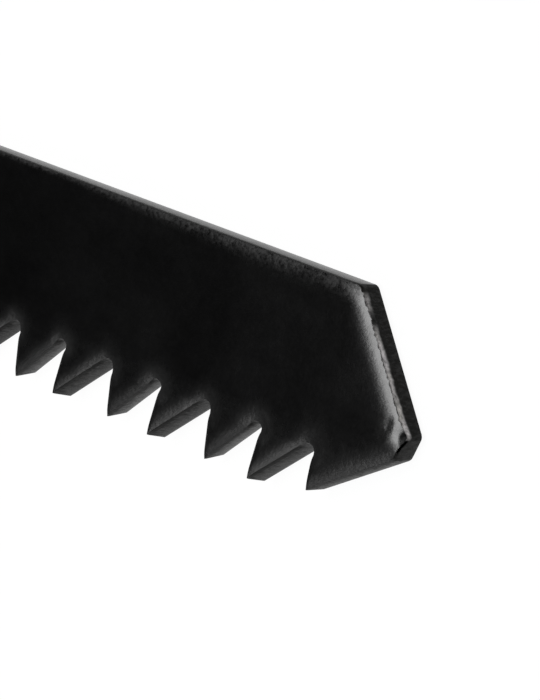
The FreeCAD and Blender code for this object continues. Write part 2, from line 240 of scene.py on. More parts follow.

# %% [markdown]
# ## What the punch leaves on each edge
# On a stamped edge the top face first sags towards the edge (the roll), then comes a smooth band
# where the punch slid past the steel (the burnish), and last a rough band where the steel tore. The
# sizes of the three bands change round the blade: the free end is rolled most, the cutting faces of
# the teeth least, and the corner above the nose is drawn down further than both its sides.
#
# A Bevel modifier would give one even round everywhere. Here the roll's depth is a smooth function
# of the distance to each kind of edge, and where two edges meet their functions are blended, so
# that no crease runs into the face. Extra sags and shallow dents near the free end come on top.
#
# The finish takes differently on each band, so further tables say how dull, how worn to bare
# steel, how much painted shade lies in its crack and on the nose's band, and how grainy the blade
# is along each kind of edge.

# %% Bands of the punched edge, in millimetres
ROLL = {
    # width, depth and sharpness of the roll, inset and height of the band under it
    "end": (1.12, 0.172, 2.8, 0.050, 0.17),
    "nose": (0.22, 0.030, 1.3, 0.045, 0.14),
    "bevel": (0.62, 0.090, 2.3, 0.045, 0.15),
    "back": (0.36, 0.040, 2.0, 0.020, 0.12),
    "flank": (0.44, 0.085, 2.0, 0.045, 0.14),
    "rake": (0.20, 0.036, 1.7, 0.012, 0.10),
    "belly": (0.40, 0.060, 2.2, 0.040, 0.14),
    "shank": (0.40, 0.070, 2.2, 0.040, 0.14),
}
ROLL["gullet"] = ROLL["flank"]
ROLL["corner"] = (1.0, 0.0, 1.0, 0.0, 0.0)
BLEND_POWER = 1.6
# the back's roll runs out before the free end: where it ends and how long it takes
RUN_OUT = {"back": (46.5, 1.6)}
NO_RUN_OUT = (99.0, 1.0)
# corners sag more than straight edges: place, radius, depth and sharpness
CORNER_SAG = ((50.0, -0.44, 1.00, 0.165, 3.0), (50.03, -0.54, 0.33, 0.115, 1.3))
# shallow dents near the free end: place, radii along x and y, depth
DENTS = ((49.19, -0.22, 0.30, 0.44, 0.027), (48.76, -0.25, 0.36, 0.50, 0.010),
         (48.62, -0.70, 0.45, 0.45, 0.006), (47.02, 3.60, 0.22, 0.22, 0.010))
top_z = middle_z + THICKNESS / 2
bottom_z = middle_z - THICKNESS / 2
print("deepest roll", max(depth for _, depth, *_ in ROLL.values()), "mm")

# %% How the finish takes on each edge, and where shade is painted
# reach in millimetres and strength of the grainier finish along an edge
FROST = {"flank": (0.9, 1.0), "bevel": (1.0, 0.9), "back": (0.7, 1.2), "nose": (0.4, 0.4),
         "rake": (0.2, 0.5)}
FROST["gullet"] = FROST["flank"]
NO_FROST = (1.0, 0.0)
# how dull the wall is under the roll, at the top of the torn band and at its foot
DULLNESS = {
    "end": (0.0, 1.0, 0.91), "nose": (0.8, 0.85, 0.75), "bevel": (0.45, 0.95, 0.70),
    "back": (0.85, 0.72, 0.12), "flank": (0.52, 0.92, 0.50), "gullet": (0.20, 0.88, 0.72),
    "rake": (0.7, 0.8, 0.8), "belly": (0.8, 0.8, 0.5), "shank": (0.5, 0.85, 0.6),
}
# how much bare steel the punch left shining in the burnished band
BARE = {"end": 1.0, "shank": 0.3}
# the finish hides the end's band over three stretches: middle and half length, along the width
UNWORN = ((3.90, 0.24), (3.00, 0.30), (-0.62, 0.15))
# painted shade in the crack between the roll and the band, for the shade in that crease, and how
# far the crack wanders
CRACK_SHADE = {"end": 0.4, "nose": 0.8, "flank": 0.0, "gullet": 0.0, "bevel": 0.0}
COMMON_CRACK_SHADE = 0.5
SEAM_WANDER = {"end": 0.050, "nose": 0.012}
# painted shade on the band under the roll, for the dark reflection there; above 1 the band is dark
# all over, as on the nose
BAND_SHADE = {"nose": 2.0}
print("grainier along", sorted(FROST), "and worn along", sorted(BARE))

# %% Distance to each kind of edge
# wider than any roll; beyond it an edge counts as far away
EDGE_REACH, FAR_AWAY = 1.2, 9.0
NO_LENGTH = 1e-12
# points are measured this many at a time, to save memory
BLOCK = 400


def edge_runs():
    """Segments of the whole outline with the teeth still flat, gathered by kind of edge."""
    runs = {}

    def add(chain, shift=0.0):
        for (a, _, kind, round_a), (b, _, _, round_b) in zip(chain, chain[1:]):
            kind = "corner" if round_a or round_b else "flank" if kind == "gullet" else kind
            runs.setdefault(kind, []).append((a.x + shift, a.y, b.x + shift, b.y))

    add(plate_outline)
    for i in range(2 * TOOTH_PAIRS):
        add(tooth_outline, -PITCH * i)
    return {kind: np.array(lines) for kind, lines in runs.items()}


def distances(points, lines):
    """Distance from each point to the nearest of the segments, measured in blocks."""
    found = np.empty(len(points))
    start, run = lines[:, :2], lines[:, 2:] - lines[:, :2]
    squared = np.maximum((run ** 2).sum(1), NO_LENGTH)
    for first in range(0, len(points), BLOCK):
        block = points[first:first + BLOCK, None, :] - start[None]
        share = np.clip((block * run).sum(2) / squared, 0, 1)
        gap = block - share[..., None] * run
        found[first:first + BLOCK] = np.sqrt((gap ** 2).sum(2).min(1))
    return found


def nearby(points, lines):
    """Distances to the segments of one edge, worked out only for points inside their box."""
    low = lines.reshape(-1, 2).min(0) - EDGE_REACH
    high = lines.reshape(-1, 2).max(0) + EDGE_REACH
    inside = ((points > low) & (points < high)).all(1)
    gap = np.full(len(points), FAR_AWAY)
    if inside.any():
        gap[inside] = distances(points[inside], lines)
    return gap


EDGE_RUNS = edge_runs()
print("kinds of edge", {kind: len(lines) for kind, lines in EDGE_RUNS.items()})

# %% Sag and grain of the top face
FROST_FADE = 1.3
# the grain along the back gets narrower towards the shank: from where, over what length, how far
BACK_NARROWS = (28.0, 14.0, 0.3)


def roll_drop(points):
    """Sag of the top face at each point, its distance to the outline and its frost."""
    total = np.zeros(len(points))
    frost = np.zeros(len(points))
    nearest = np.full(len(points), FAR_AWAY)
    for kind, lines in EDGE_RUNS.items():
        width, depth, sharpness = ROLL[kind][:3]
        gap = nearby(points, lines)
        share = np.clip(1 - gap / width, 0, 1)
        last, fade = RUN_OUT.get(kind, NO_RUN_OUT)
        depth = depth * np.clip((last - points[:, 0]) / fade, 0, 1)
        total += (depth * share ** sharpness) ** BLEND_POWER
        nearest = np.minimum(nearest, gap)
        reach, strength = FROST.get(kind, NO_FROST)
        if kind == "back":
            start, rise, least = BACK_NARROWS
            reach = reach * np.clip((points[:, 0] - start) / rise, least, 1)
        frost = np.maximum(frost, strength * np.clip(1 - gap / reach, 0, 1) ** FROST_FADE)
    sag = total ** (1 / BLEND_POWER)
    for x, y, radius, depth, sharpness in CORNER_SAG:
        away = np.hypot(points[:, 0] - x, points[:, 1] - y)
        sag += depth * np.clip(1 - away / radius, 0, 1) ** sharpness
    for x, y, across, along, depth in DENTS:
        away = np.hypot((points[:, 0] - x) / across, (points[:, 1] - y) / along)
        sag += depth * np.clip(1 - away ** 2, 0, 1) ** 2
    return sag, nearest, frost


corner_sag = roll_drop(np.array([CORNER_SAG[0][:2]]))[0][0]
print("sag at the nose's corner", round(corner_sag, 3), "mm")

# %% [markdown]
# ## From outline to skin
# The top face is triangulated between rings of points that follow the outline, close together where
# the roll is steep and far apart inside, by Blender's constrained Delaunay routine. A fine even
# grid would need far more points for the same smooth highlight.
#
# The wall hangs from its rim in rows, one row for each step of its profile, and the underside
# closes it. Both the plate and the flat tooth are made by this one function. Its open side, where
# the teeth meet the plate, has the same points in both.

# %% Inset and height of the band along a chain
SMOOTH_STEP, SMOOTH_POINTS = 0.05, 13
TIP_INSET, TIP_REACH = 0.010, 0.28
HOLD_REACH = 0.15
# the torn line wanders with noise: the slice of the noise, its spots per millimetre, its share
JAG_WIDE, JAG_FINE, JAG_HEIGHT = (3.1, 7, 1.0), (8.7, 19, 0.6), (5.3, 4, 1.5)


def travelled(chain):
    """Length of the way from the chain's start to each of its points."""
    spots = np.array([link[0] for link in chain])
    return np.r_[0, np.cumsum(np.linalg.norm(np.diff(spots, axis=0), axis=1))]


def smoothed(chain, values):
    """Values along the chain, with the steps between edges smoothed out."""
    way = travelled(chain)
    even = np.arange(0, way[-1], SMOOTH_STEP)
    level = np.pad(np.interp(even, way, values), SMOOTH_POINTS // 2, mode="edge")
    kernel = np.hanning(SMOOTH_POINTS)
    level = np.convolve(level, kernel / kernel.sum(), mode="valid")
    return np.interp(way, even, level)


def jag(spot, level, per_mm, share):
    """Noise at a point of the outline, from one slice of the noise."""
    return share * noise.noise(Vector((spot.x, spot.y, level)) * per_mm)


def band_sizes(chain):
    """Inset and height of the band under the roll: narrow at the tips, uneven where it tore."""
    inset = smoothed(chain, [ROLL[kind][3] for _, _, kind, _ in chain])
    height = smoothed(chain, [ROLL[kind][4] for _, _, kind, _ in chain])
    wander = smoothed(chain, [SEAM_WANDER.get(kind, 0.0) for _, _, kind, _ in chain])
    way = travelled(chain)
    tips = way[[radius == TIP_ROUND for _, _, _, radius in chain]]
    from_tip = np.abs(way[:, None] - tips[None]).min(1)
    inset = TIP_INSET + (inset - TIP_INSET) * np.clip(from_tip / TIP_REACH, 0, 1)
    for i, (spot, _, _, _) in enumerate(chain):
        inset[i] += wander[i] * (jag(spot, *JAG_WIDE) + jag(spot, *JAG_FINE))
        height[i] += wander[i] * jag(spot, *JAG_HEIGHT)
    # both ends of a chain are at a gullet's top, and have to meet the next piece there
    hold = np.clip(np.minimum(way, way[-1] - way) / HOLD_REACH, 0, 1)
    inset = ROLL["gullet"][3] + (inset - ROLL["gullet"][3]) * hold
    height = ROLL["gullet"][4] + (height - ROLL["gullet"][4]) * hold
    return inset, height


tooth_inset, _ = band_sizes(tooth_outline)
print("the band is set in by", tooth_inset.min().round(3), "to", tooth_inset.max().round(3), "mm")

# %% Profile of the wall and its weights
SEAM_HALF, SEAM_TOP, SEAM_FOOT = 0.003, 0.006, 0.014
BURNISH_SHARES = (0.2, 0.4, 0.6, 0.8, 1.0)
TORN_SHARES = (0.15, 0.32, 0.5, 0.68, 0.85)
TORN_LEAN, FOOT_STEP, FOOT_HEIGHT, BOTTOM_INSET = 0.006, 0.001, 0.010, 0.010
BURNISH_DULL, BURNISH_FADE = 0.9, 1.5
# the burnish is worn most down to this share of its height, and then by this much
WORN_DOWN_TO, WORN_BELOW = 0.7, 0.6
# the nose's band of painted shade fades over this share of its height, and from here down the nose
SHADE_FADE, SHADE_LOW_Y, SHADE_LOW_FADE = 0.4, -1.22, 0.35
SEAM_SLICE, SEAM_SPOTS, SEAM_MEAN, SEAM_SWING = 1.7, 6, 0.5, 2.5


def wall_rows(inset, height, left):
    """Profile of the wall: (offset from the outline, drop from the rim, band, share of band)."""
    rows = [(inset + SEAM_HALF, SEAM_TOP, "seam", 0.0), (inset - SEAM_HALF, SEAM_FOOT, "seam", 1.0)]
    rows += [(inset * (1 - share) ** 2, SEAM_FOOT + (height - SEAM_FOOT) * share, "burnish", share)
             for share in BURNISH_SHARES]
    rows += [(TORN_LEAN * share, height + left * share, "torn", share) for share in TORN_SHARES]
    rows.append((TORN_LEAN + FOOT_STEP, height + left - FOOT_HEIGHT, "torn", 1.0))
    rows.append((BOTTOM_INSET, height + left, "torn", 1.0))
    return rows


def held(value):
    """A number kept from 0 to 1."""
    return min(max(value, 0.0), 1.0)


def weights(band, share, kind, spot):
    """Dullness, bareness, painted shade and frost at one point of the wall."""
    bare = BARE.get(kind, 0.0)
    under, high, low = DULLNESS[kind]
    grade = FROST.get(kind, NO_FROST)[1]
    if band == "torn":
        return high + (low - high) * share, 0.0, 0.0, 0.0
    if band == "burnish":
        dulled, covered = share ** BURNISH_FADE, 0.0
        if kind == "end":
            covered = held(sum(exp(-((spot.y - middle) / half) ** 2) for middle, half in UNWORN))
            dulled = covered
        worn = bare * (1.0 if share < WORN_DOWN_TO else WORN_BELOW) * (1 - covered)
        # painted shade on the nose's band, in place of the dark reflection there
        dark = BAND_SHADE.get(kind, 0.0) * held((1 - share) / SHADE_FADE)
        dark *= held((spot.y - SHADE_LOW_Y) / SHADE_LOW_FADE)
        return under + (BURNISH_DULL - under) * dulled, worn, dark, grade
    broken = SEAM_MEAN + jag(spot, SEAM_SLICE, SEAM_SPOTS, SEAM_SWING)
    # the crack's rows get painted shade, for the shade in that crease
    return under, bare * held(broken), CRACK_SHADE.get(kind, COMMON_CRACK_SHADE), grade


print("rows down the wall:", len(wall_rows(*ROLL["end"][3:], THICKNESS)))

# %% Points and triangles inside a loop
TINY_CELL = 0.012
SAME_POINT = 1e-7
INNER_TRIANGLES = 1


def inside_loop(points, loop, margin):
    """Which points lie inside a closed loop and not too near its sides."""
    result = np.zeros(len(points), bool)
    following = np.roll(loop, -1, axis=0)
    for (x1, y1), (x2, y2) in zip(loop, following):
        if y1 == y2:
            continue
        crosses = (points[:, 1] > min(y1, y2)) & (points[:, 1] <= max(y1, y2))
        at = x1 + (points[:, 1] - y1) * (x2 - x1) / (y2 - y1)
        result ^= crosses & (points[:, 0] < at)
    result[result] = distances(points[result], np.c_[loop, following]) > margin
    return result


def thinned(points):
    """The points without those that share a tiny cell with an earlier one."""
    seen, kept = set(), []
    for point in points:
        key = (floor(point[0] / TINY_CELL), floor(point[1] / TINY_CELL))
        if key not in seen:
            seen.add(key)
            kept.append(tuple(point))
    return kept


def triangulated(loop, loose):
    """Points and triangles inside the closed loop, and where each given point went."""
    given = [Vector(point) for point in [*loop, *loose]]
    ring = list(range(len(loop)))
    verts, _, faces, origin, _, owners = delaunay_2d_cdt(given, [], [ring], INNER_TRIANGLES,
                                                         SAME_POINT, True)
    # a triangle outside the loop belongs to no face of the input
    faces = [tuple(face) for face, owner in zip(faces, owners) if owner]
    where = {source: index for index, sources in enumerate(origin) for source in sources}
    return [tuple(point) for point in verts], faces, where


square = [(0, 0), (1, 0), (1, 1), (0, 1)]
print("triangles in a square round one point:", len(triangulated(square, [(0.5, 0.5)])[1]))

# %% Skin over an outline
RINGS = (0.0, 0.02, 0.045, 0.08, 0.12, 0.17, 0.23, 0.30, 0.38, 0.48, 0.60)
# a ring's point is left out where another stretch of the outline is nearer than this share of
# the ring's own distance
RING_CROWDED = 0.93
RING_COARSE_FROM = 0.3
# the inner grid starts at these shares of its step, so it is not in line with any edge
GRID_START = (0.37, 0.41)
TOP_MARGIN, BOTTOM_MARGIN = 0.012, 0.05
BOTTOM_CLEAR = 0.5


def ring_points(rim, inward, inset):
    """Points on rings inside the rim, half as many on the inner ones."""
    kept = []
    for gap in RINGS[1:]:
        ring = rim + inward * gap
        keep = roll_drop(ring)[1] > RING_CROWDED * (inset + gap)
        keep[0] = keep[-1] = False
        if gap > RING_COARSE_FROM:
            keep &= np.arange(len(ring)) % 2 == 0
        kept.append(ring[keep])
    return kept


def grid_points(low, high, step):
    """Even points over the box of an outline."""
    columns = np.arange(low[0] + GRID_START[0] * step, high[0], step)
    rows = np.arange(low[1] + GRID_START[1] * step, high[1], step)
    return np.array([(x, y) for x in columns for y in rows])


def skin(chain, inner_top, inner_bottom, grid_step, clear):
    """Vertices, faces and band weights of the steel inside a chain and its open side."""
    spots = np.array([link[0] for link in chain])
    inward = np.array([link[1] for link in chain])
    inset, height = band_sizes(chain)
    # the top face, with its sag
    rim = spots + inward * inset[:, None]
    grid = grid_points(spots.min(0), spots.max(0), grid_step)
    from_edge = roll_drop(grid)[1]
    loose = np.concatenate([*ring_points(rim, inward, inset), grid[from_edge > clear]])
    top_loop = [tuple(point) for point in rim] + inner_top
    loose = thinned(loose[inside_loop(loose, np.array(top_loop), TOP_MARGIN)])
    flat, faces, where = triangulated(top_loop, loose)
    sag, _, frost = roll_drop(np.array(flat))
    verts = [(x, y, top_z - drop) for (x, y), drop in zip(flat, sag)]
    bands = [(0.0, 0.0, 0.0, grade) for grade in frost]
    # the wall, row by row from the rim down
    above = [where[i] for i in range(len(chain))]
    columns = []
    for i, (spot, _, kind, _) in enumerate(chain):
        rim_z = verts[above[i]][2]
        rows = wall_rows(inset[i], height[i], rim_z - height[i] - bottom_z)
        columns.append([((*(spots[i] + inward[i] * offset), rim_z - drop),
                         weights(band, share, kind, spot)) for offset, drop, band, share in rows])
    for row in zip(*columns):
        below = range(len(verts), len(verts) + len(row))
        verts += [point for point, _ in row]
        bands += [weight for _, weight in row]
        faces += [(above[i], below[i], below[i + 1], above[i + 1]) for i in range(len(row) - 1)]
        above = below
    # the underside
    bottom_loop = [tuple(point) for point in spots + inward * BOTTOM_INSET] + inner_bottom
    grid = grid[from_edge > BOTTOM_CLEAR]
    grid = grid[inside_loop(grid, np.array(bottom_loop), BOTTOM_MARGIN)][::2]
    flat, lower, _ = triangulated(bottom_loop, grid)
    first = len(verts)
    verts += [(x, y, bottom_z) for x, y in flat]
    bands += [(0.0, 0.0, 0.0, 0.0)] * len(flat)
    faces += [tuple(first + i for i in reversed(face)) for face in lower]
    return verts, faces, bands


print("rings of points inside the rim:", len(RINGS) - 1)

# %% Skins of the tooth and of the plate
JOIN_Y = gullet_top + 0.62
JOIN_CLEAR = 0.03
JOIN_STEP_TOP, JOIN_STEP_BOTTOM = 0.125, 0.5
TOOTH_GRID, PLATE_GRID = 0.2, 0.45
TOOTH_CLEAR, PLATE_CLEAR = 0.5, RINGS[-1] + 0.05
LEVELS_TOP = [gullet_top + ROLL["gullet"][3] + gap
              for gap in RINGS[1:] if gullet_top + gap < JOIN_Y - JOIN_CLEAR]
LEVELS_BOTTOM = [gullet_top + 0.3]


def open_side(x_from, x_to, levels, step):
    """The open side's points: up from the gullet's top, along the join and down again."""
    count = max(1, round(abs(x_to - x_from) / step))
    along = [(x_from + (x_to - x_from) * k / count, JOIN_Y) for k in range(count + 1)]
    return [(x_from, y) for y in levels] + along + [(x_to, y) for y in reversed(levels)]


tooth_skin = skin(tooth_outline,
                  open_side(round_x, round_x - PITCH, LEVELS_TOP, JOIN_STEP_TOP),
                  open_side(round_x, round_x - PITCH, LEVELS_BOTTOM, JOIN_STEP_BOTTOM),
                  TOOTH_GRID, TOOTH_CLEAR)
plate_skin = skin(plate_outline,
                  open_side(row_start, round_x, LEVELS_TOP, JOIN_STEP_TOP),
                  open_side(row_start, round_x, LEVELS_BOTTOM, JOIN_STEP_BOTTOM),
                  PLATE_GRID, PLATE_CLEAR)
print("tooth faces", len(tooth_skin[1]), "plate faces", len(plate_skin[1]))

# %% [markdown]
# ## Two flat pieces
# The weights of the bands travel with the points of the mesh, as named attributes. Separate
# materials for roll, burnish and torn steel would give hard borders between faces. A weight on a
# point fades from one band into the next, as on the real edge.

# %% Flat meshes in metres
# names of the weights, in the order in which the skin gives them; the third is painted shade
WEIGHTS = ("dull", "bare", "seam", "frost")


def placed(name, data):
    """A new object in the scene."""
    made = bpy.data.objects.new(name, data)
    bpy.context.scene.collection.objects.link(made)
    return made


def mesh_object(name, verts, faces, bands):
    """Mesh with a weight for each band of the wall stored on its points."""
    mesh = bpy.data.meshes.new(name)
    mesh.from_pydata([(x * MM, y * MM, z * MM) for x, y, z in verts], [], faces)
    for label, values in zip(WEIGHTS, zip(*bands)):
        layer = mesh.attributes.new(label, "FLOAT", "POINT")
        layer.data.foreach_set("value", values)
    return placed(name, mesh)


flat_tooth = mesh_object("flat_tooth", *tooth_skin)
plate = mesh_object("plate", *plate_skin)
print("flat meshes:", len(flat_tooth.data.vertices), "and", len(plate.data.vertices), "points")

# %% [markdown]
# ## The row of set teeth
# On the real blade a press bends every second tooth up and the others down. Copying and bending
# teeth one by one in a loop would work, but this is just what Geometry Nodes are for: a line of
# points carries one flat tooth each, a number on each point says which side it is set to, and one
# bend formula moves the points of all teeth. The tree then joins the row to the plate.
#
# Wiring nodes by hand is slow to read, so a small class lets a formula be written as a formula. The
# finish, the floor and the sky below are wired with it too.

# %% Node helper
class Value:
    """A number in a node tree. Sums and products of values add Math nodes."""

    def __init__(self, net, socket):
        self.net = net
        self.socket = socket

    def math(self, operation, other=None, flip=False):
        terms = [self] if other is None else [other, self] if flip else [self, other]
        return self.net.value("ShaderNodeMath", {"operation": operation},
                              **{f"_{i}": term for i, term in enumerate(terms)})

    def __add__(self, other):
        return self.math("ADD", other)

    def __sub__(self, other):
        return self.math("SUBTRACT", other)

    def __rsub__(self, other):
        return self.math("SUBTRACT", other, flip=True)

    def __mul__(self, other):
        return self.math("MULTIPLY", other)

    def __truediv__(self, other):
        return self.math("DIVIDE", other)

    def __pow__(self, other):
        return self.math("POWER", other)

    __radd__ = __add__
    __rmul__ = __mul__

    def at_least(self, low):
        return self.math("MAXIMUM", low)

    def at_most(self, high):
        return self.math("MINIMUM", high)

    def clamped(self):
        return self.at_least(0.0).at_most(1.0)


class Net:
    """A node tree, with the one method that adds nodes to it."""

    def __init__(self, tree):
        self.tree = tree

    def node(self, kind, settings=None, **sockets):
        """One node: its settings first, then the values or links of its sockets.

        A socket is named with _ for a space, or by its number after a _. A node that is given to a
        socket stands for its first output.
        """
        made = self.tree.nodes.new(kind)
        for key, value in (settings or {}).items():
            setattr(made, key, value)
        for key, value in sockets.items():
            slot = made.inputs[int(key[1:]) if key[0] == "_" else key.replace("_", " ")]
            if isinstance(value, Value):
                value = value.socket
            elif isinstance(value, bpy.types.Node):
                value = value.outputs[0]
            if isinstance(value, bpy.types.NodeSocket):
                self.tree.links.new(value, slot)
            else:
                slot.default_value = value
        return made

    def value(self, kind, settings=None, output=0, **sockets):
        return Value(self, self.node(kind, settings, **sockets).outputs[output])


print("node helper ready")

# %% Geometry tree with named inputs
class Shaper(Net):
    """A geometry tree. Its named inputs are the sizes of what it makes."""

    def __init__(self, name, sizes):
        super().__init__(bpy.data.node_groups.new(name, "GeometryNodeTree"))
        face = self.tree.interface
        for way in ("OUTPUT", "INPUT"):
            face.new_socket("Geometry", in_out=way, socket_type="NodeSocketGeometry")
        self.sizes = {}
        for label, (kind, value) in sizes.items():
            socket = face.new_socket(label, in_out="INPUT", socket_type=kind)
            self.sizes[socket.identifier] = value
        self.entry = self.node("NodeGroupInput")

    def size(self, label):
        return Value(self, self.entry.outputs[label])

    def bake(self, host, name):
        """Run the tree on a host object and return the result as a plain mesh object."""
        modifier = host.modifiers.new("tree", "NODES")
        modifier.node_group = self.tree
        for identifier, value in self.sizes.items():
            modifier[identifier] = value
        bpy.context.view_layer.update()
        seen = host.evaluated_get(bpy.context.evaluated_depsgraph_get())
        mesh = bpy.data.meshes.new_from_object(seen)
        host.modifiers.remove(modifier)
        mesh.name = name
        return placed(name, mesh)


finish_material = bpy.data.materials.new("black_finish")
row_tree = Shaper("tooth_row", {
    "Plate": ("NodeSocketObject", plate),
    "Teeth": ("NodeSocketInt", 2 * TOOTH_PAIRS),
    "Pitch": ("NodeSocketFloat", PITCH * MM),
    "Bend start": ("NodeSocketFloat", bend_y * MM),
    "Bend radius": ("NodeSocketFloat", BEND_RADIUS * MM),
    "Set turn": ("NodeSocketFloat", SET_TURN),
    "Middle": ("NodeSocketFloat", middle_z * MM),
    "Finish": ("NodeSocketMaterial", finish_material),
})
print("inputs of the tree:", len(row_tree.sizes))

# %% Tree of the tooth row
MERGE_GAP = 0.002  # in millimetres


def row_of_teeth(t):
    """The flat teeth in a line, each with its side, 1 or -1, stored on its points."""
    step = t.node("ShaderNodeCombineXYZ", X=t.size("Pitch") * -1.0)
    line = t.node("GeometryNodeMeshLine", {"mode": "OFFSET"}, Count=t.size("Teeth"), Offset=step)
    side = 1.0 - t.value("GeometryNodeInputIndex").math("MODULO", 2.0) * 2.0
    marked = t.node("GeometryNodeStoreNamedAttribute", {"data_type": "FLOAT", "domain": "POINT"},
                    Geometry=line, Name="side", Value=side)
    copies = t.node("GeometryNodeInstanceOnPoints", Points=marked,
                    Instance=t.entry.outputs["Geometry"])
    return t.node("GeometryNodeRealizeInstances", Geometry=copies)


def bent(t, row):
    """Each tooth turned about its bend: an arc first, then straight on."""
    apart = t.node("ShaderNodeSeparateXYZ", Vector=t.node("GeometryNodeInputPosition"))
    x, y, z = (Value(t, socket) for socket in apart.outputs)
    side = t.value("GeometryNodeInputNamedAttribute", {"data_type": "FLOAT"}, Name="side")
    radius, start, middle = (t.size(label) for label in ("Bend radius", "Bend start", "Middle"))
    reach = (start - y).at_least(0.0)
    turn = (reach / radius).at_most(t.size("Set turn"))
    sine, cosine = turn.math("SINE"), turn.math("COSINE")
    straight = reach - radius * turn
    ray = radius - side * (z - middle)
    new_y = start - ray * sine - straight * cosine
    new_z = middle + side * (radius - ray * cosine + straight * sine)
    return t.node("GeometryNodeSetPosition", Geometry=row,
                  Selection=reach.math("GREATER_THAN", 0.0),
                  Position=t.node("ShaderNodeCombineXYZ", X=x, Y=new_y, Z=new_z))


def joined(t, teeth):
    """The plate and the row as one skin, merged, smooth and with its finish."""
    body = t.node("GeometryNodeObjectInfo", Object=t.entry.outputs["Plate"])
    both = t.node("GeometryNodeJoinGeometry", Geometry=body.outputs["Geometry"])
    t.tree.links.new(teeth.outputs[0], both.inputs["Geometry"])
    whole = t.node("GeometryNodeRealizeInstances", Geometry=both)
    merged = t.node("GeometryNodeMergeByDistance", Geometry=whole, Distance=MERGE_GAP * MM)
    smooth = t.node("GeometryNodeSetShadeSmooth", Geometry=merged)
    real = t.node("GeometryNodeRealizeInstances", Geometry=smooth)
    return t.node("GeometryNodeSetMaterial", Geometry=real, Material=t.entry.outputs["Finish"])


row_tree.node("NodeGroupOutput", Geometry=joined(row_tree, bent(row_tree, row_of_teeth(row_tree))))
blade_skin = row_tree.bake(flat_tooth, "blade_skin")
for helper in (flat_tooth, plate):
    bpy.data.objects.remove(helper)
print("skin:", len(blade_skin.data.vertices), "points,", len(blade_skin.data.polygons), "faces")

# %% [markdown]
# ## Smooth face, sharp rims
# The roll has to shade smoothly, but the foot of the wall and the tips of the teeth are sharp on a
# stamped blade. Smoothing everything would smear the light round those corners, so edges that turn
# more than a given angle are marked sharp. The same pass shows that the skin is closed: each edge
# has two faces, and the volume is positive, so the faces look outwards.

# %% Sharp edges and a check of the skin
SHARP_TURN = radians(50)

shell = bmesh.new()
shell.from_mesh(blade_skin.data)
closed = [edge for edge in shell.edges if len(edge.link_faces) == 2]
for edge in closed:
    if edge.calc_face_angle(0) > SHARP_TURN:
        edge.smooth = False
volume = shell.calc_volume(signed=True) / MM ** 3
print("open edges", len(shell.edges) - len(closed), "volume in cubic mm", round(volume, 2))
shell.to_mesh(blade_skin.data)
shell.free()

# %% [markdown]
# ## The black finish
# The blade is blackened after stamping. Its face is smooth and half glossy, with faint clouds where
# it was handled. Along the teeth, the bevel and the back the finish is grainier and catches more
# light, most of all along the back. The torn walls stay dull, and on the free end's burnish it is
# worn through to bare steel.
#
# One flat black would show none of this. Noise at several sizes gives clouds, mottle, grain and
# the torn wall's upright streaks, and the weights on the points say where each finish lies. Four
# Principled shaders are laid over each other by those weights: shiny black, bare steel, dull
# black, and a black without sheen that is painted shade: it stands for the shade in the crack and
# for the dark reflection on the nose's band.

# %% Finish helper
class Paint(Net):
    """The node tree of one material or of the sky."""

    def __init__(self, holder):
        holder.use_nodes = True
        super().__init__(holder.node_tree)
        self.tree.nodes.clear()

    def mixed(self, share, first, second):
        """Colour between two, by a share from 0 to 1."""
        return self.node("ShaderNodeMix", {"data_type": "RGBA"},
                         _0=share, _6=first, _7=second).outputs[2]

    def layered(self, share, under, over):
        """One finish over another, by a share from 0 to 1."""
        return self.node("ShaderNodeMixShader", Fac=share, _1=under, _2=over)


paint = Paint(finish_material)
place = paint.node("ShaderNodeTexCoord").outputs["Object"]
# the third weight is painted shade, in the crack and on the nose's band
dull_share, bare, seam, frost_reach = (
    paint.value("ShaderNodeAttribute", {"attribute_name": label}, "Fac") for label in WEIGHTS)
print("weights read by the finish:", WEIGHTS)

# %% Patterns of the finish
PER_MM = 1 / MM
# spots per millimetre, detail and roughness of each noise
GRAINS = {"clouds": (0.35, 3.0, 0.5), "mottle": (2.2, 4.0, 0.6), "fine": (7.0, 3.0, 0.6),
          "streaks": (11.0, 2.0, 0.6), "frost": (0.8, 2.0, 0.5), "steel": (1.3, 2.0, 0.5)}
NOISE_MEAN = 0.5
STREAK_SQUEEZE = (1.0, 1.0, 0.3)
FROST_GAIN, FROST_BASE = 1.8, 0.1
# where a share starts to rise, in millimetres, and how fast
HANDLED_FROM, HANDLED_RISE = 30.0, 0.05
BACK_FROM, BACK_RISE = 1.5, 0.6


def grain(name, where=place):
    """One noise of the table, as a number."""
    per_mm, detail, roughness = GRAINS[name]
    return paint.value("ShaderNodeTexNoise", {"noise_dimensions": "3D"}, Vector=where,
                       Scale=per_mm * PER_MM, Detail=detail, Roughness=roughness)


clouds, mottle, fine = grain("clouds"), grain("mottle"), grain("fine")
squeezed = paint.node("ShaderNodeVectorMath", {"operation": "MULTIPLY"},
                      _0=place, _1=STREAK_SQUEEZE)
streaks = grain("streaks", squeezed)
frost = frost_reach * (grain("frost") * FROST_GAIN + FROST_BASE)
apart = paint.node("ShaderNodeSeparateXYZ", Vector=place)
along, across = (Value(paint, apart.outputs[axis]) for axis in ("X", "Y"))
handled = ((along * PER_MM - HANDLED_FROM) * HANDLED_RISE).clamped()
near_back = ((across * PER_MM - BACK_FROM) * BACK_RISE).clamped()
speckle = (fine - NOISE_MEAN) * frost * near_back
print("patterns:", len(GRAINS), "noises")

# %% Four finishes, one of them painted shade
# the same black, without sheen, is also painted shade in the crack and on the nose's band
BLACK = SHADE_BLACK = (0.0003, 0.0003, 0.0003, 1)
SLATE = (0.0010, 0.0010, 0.0011, 1)
DULL_BLACK = (0.0036, 0.0036, 0.0030, 1)
STEEL_COOL = (0.42, 0.40, 0.43, 1)
STEEL_WARM = (0.42, 0.41, 0.37, 1)
